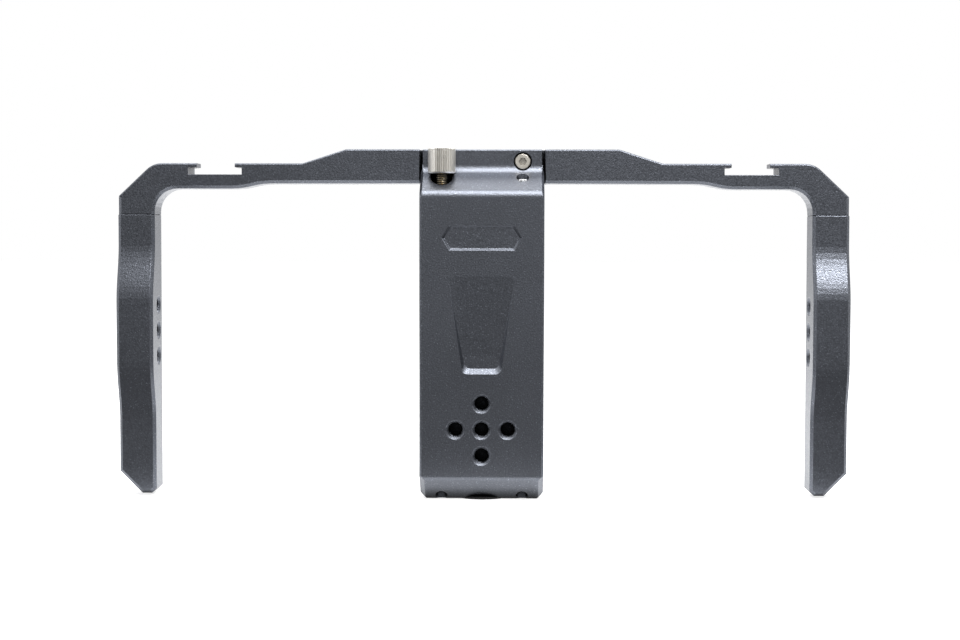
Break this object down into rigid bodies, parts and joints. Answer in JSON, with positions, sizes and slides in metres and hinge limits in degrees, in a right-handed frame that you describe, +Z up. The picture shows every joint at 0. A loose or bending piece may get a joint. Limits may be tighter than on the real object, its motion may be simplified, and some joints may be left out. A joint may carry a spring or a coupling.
{
  "type": "smartphone video rig",
  "caption": "Smartphone video rig with a screw clamp behind a drilled plate, folding arms with cold shoes, and two grips.",
  "frame": {"origin": "mouth of the tripod socket in the underside, on the socket's axis", "axes": "+X to the right as seen from the front, +Y away from the front, +Z up"},
  "size_m": [0.255, 0.0305, 0.1226],
  "materials": {
    "body_aluminium": "dark grey bead-blasted anodised",
    "cover_aluminium": "dark grey anodised sheet",
    "rubber": "matt",
    "knob_nickel": "straight knurled satin nickel",
    "thread_steel": "oiled",
    "rod_steel": "ground",
    "screw_steel": "stainless",
    "black_screw": "black oxide",
    "brass": "turned",
    "insert_steel": "stainless"
  },
  "bodies": {
    "frame": {"spine": "body_aluminium", "back_cover": "cover_aluminium", "cover_screws": "black_screw", "phone_rest_pads": "rubber", "shelf_pad": "rubber", "base_pad": "rubber", "tripod_insert": "insert_steel", "screw_bush": "brass", "guide_rod": "rod_steel", "plug_screws": "black_screw", "left_hinge_leaf": "black_screw", "right_hinge_leaf": "black_screw", "leaf_screws": "screw_steel"},
    "knob": {"clamp_knob": "knob_nickel", "lead_screw": "thread_steel"},
    "jaw": {"jaw_carriage": "cover_aluminium", "drive_nut": "brass", "guide_bush": "brass", "upper_jaw": "body_aluminium", "jaw_screws": "black_screw", "upper_jaw_pad": "rubber"},
    "left_side": {"left_arm": "body_aluminium", "left_hinge_pin": "rod_steel", "left_grip": "body_aluminium", "left_grip_screws": "black_screw"},
    "right_side": {"right_arm": "body_aluminium", "right_hinge_pin": "rod_steel", "right_grip": "body_aluminium", "right_grip_screws": "black_screw"}
  },
  "joints": [
    {"name": "knob_turn", "type": "hinge", "parent": "frame", "child": "knob", "pos_m": [-0.014, -0.0089, 0.1178], "axis": [0, 0, 1], "range_deg": [0, 15428.57]},
    {"name": "jaw_slide", "type": "slide", "parent": "frame", "child": "jaw", "axis": [0, 0, 1], "range_m": [-0.03, 0]},
    {"name": "left_arm_fold", "type": "hinge", "parent": "frame", "child": "left_side", "pos_m": [-0.02115, 0.0039, 0.1157], "axis": [0, 0, 1], "range_deg": [-90, 0]},
    {"name": "right_arm_fold", "type": "hinge", "parent": "frame", "child": "right_side", "pos_m": [0.02115, 0.0039, 0.1157], "axis": [0, 0, 1], "range_deg": [0, 90]}
  ],
  "couplings": [
    {"joint": "knob_turn", "follows": "jaw_slide", "rad_per_m": -8976}
  ]
}
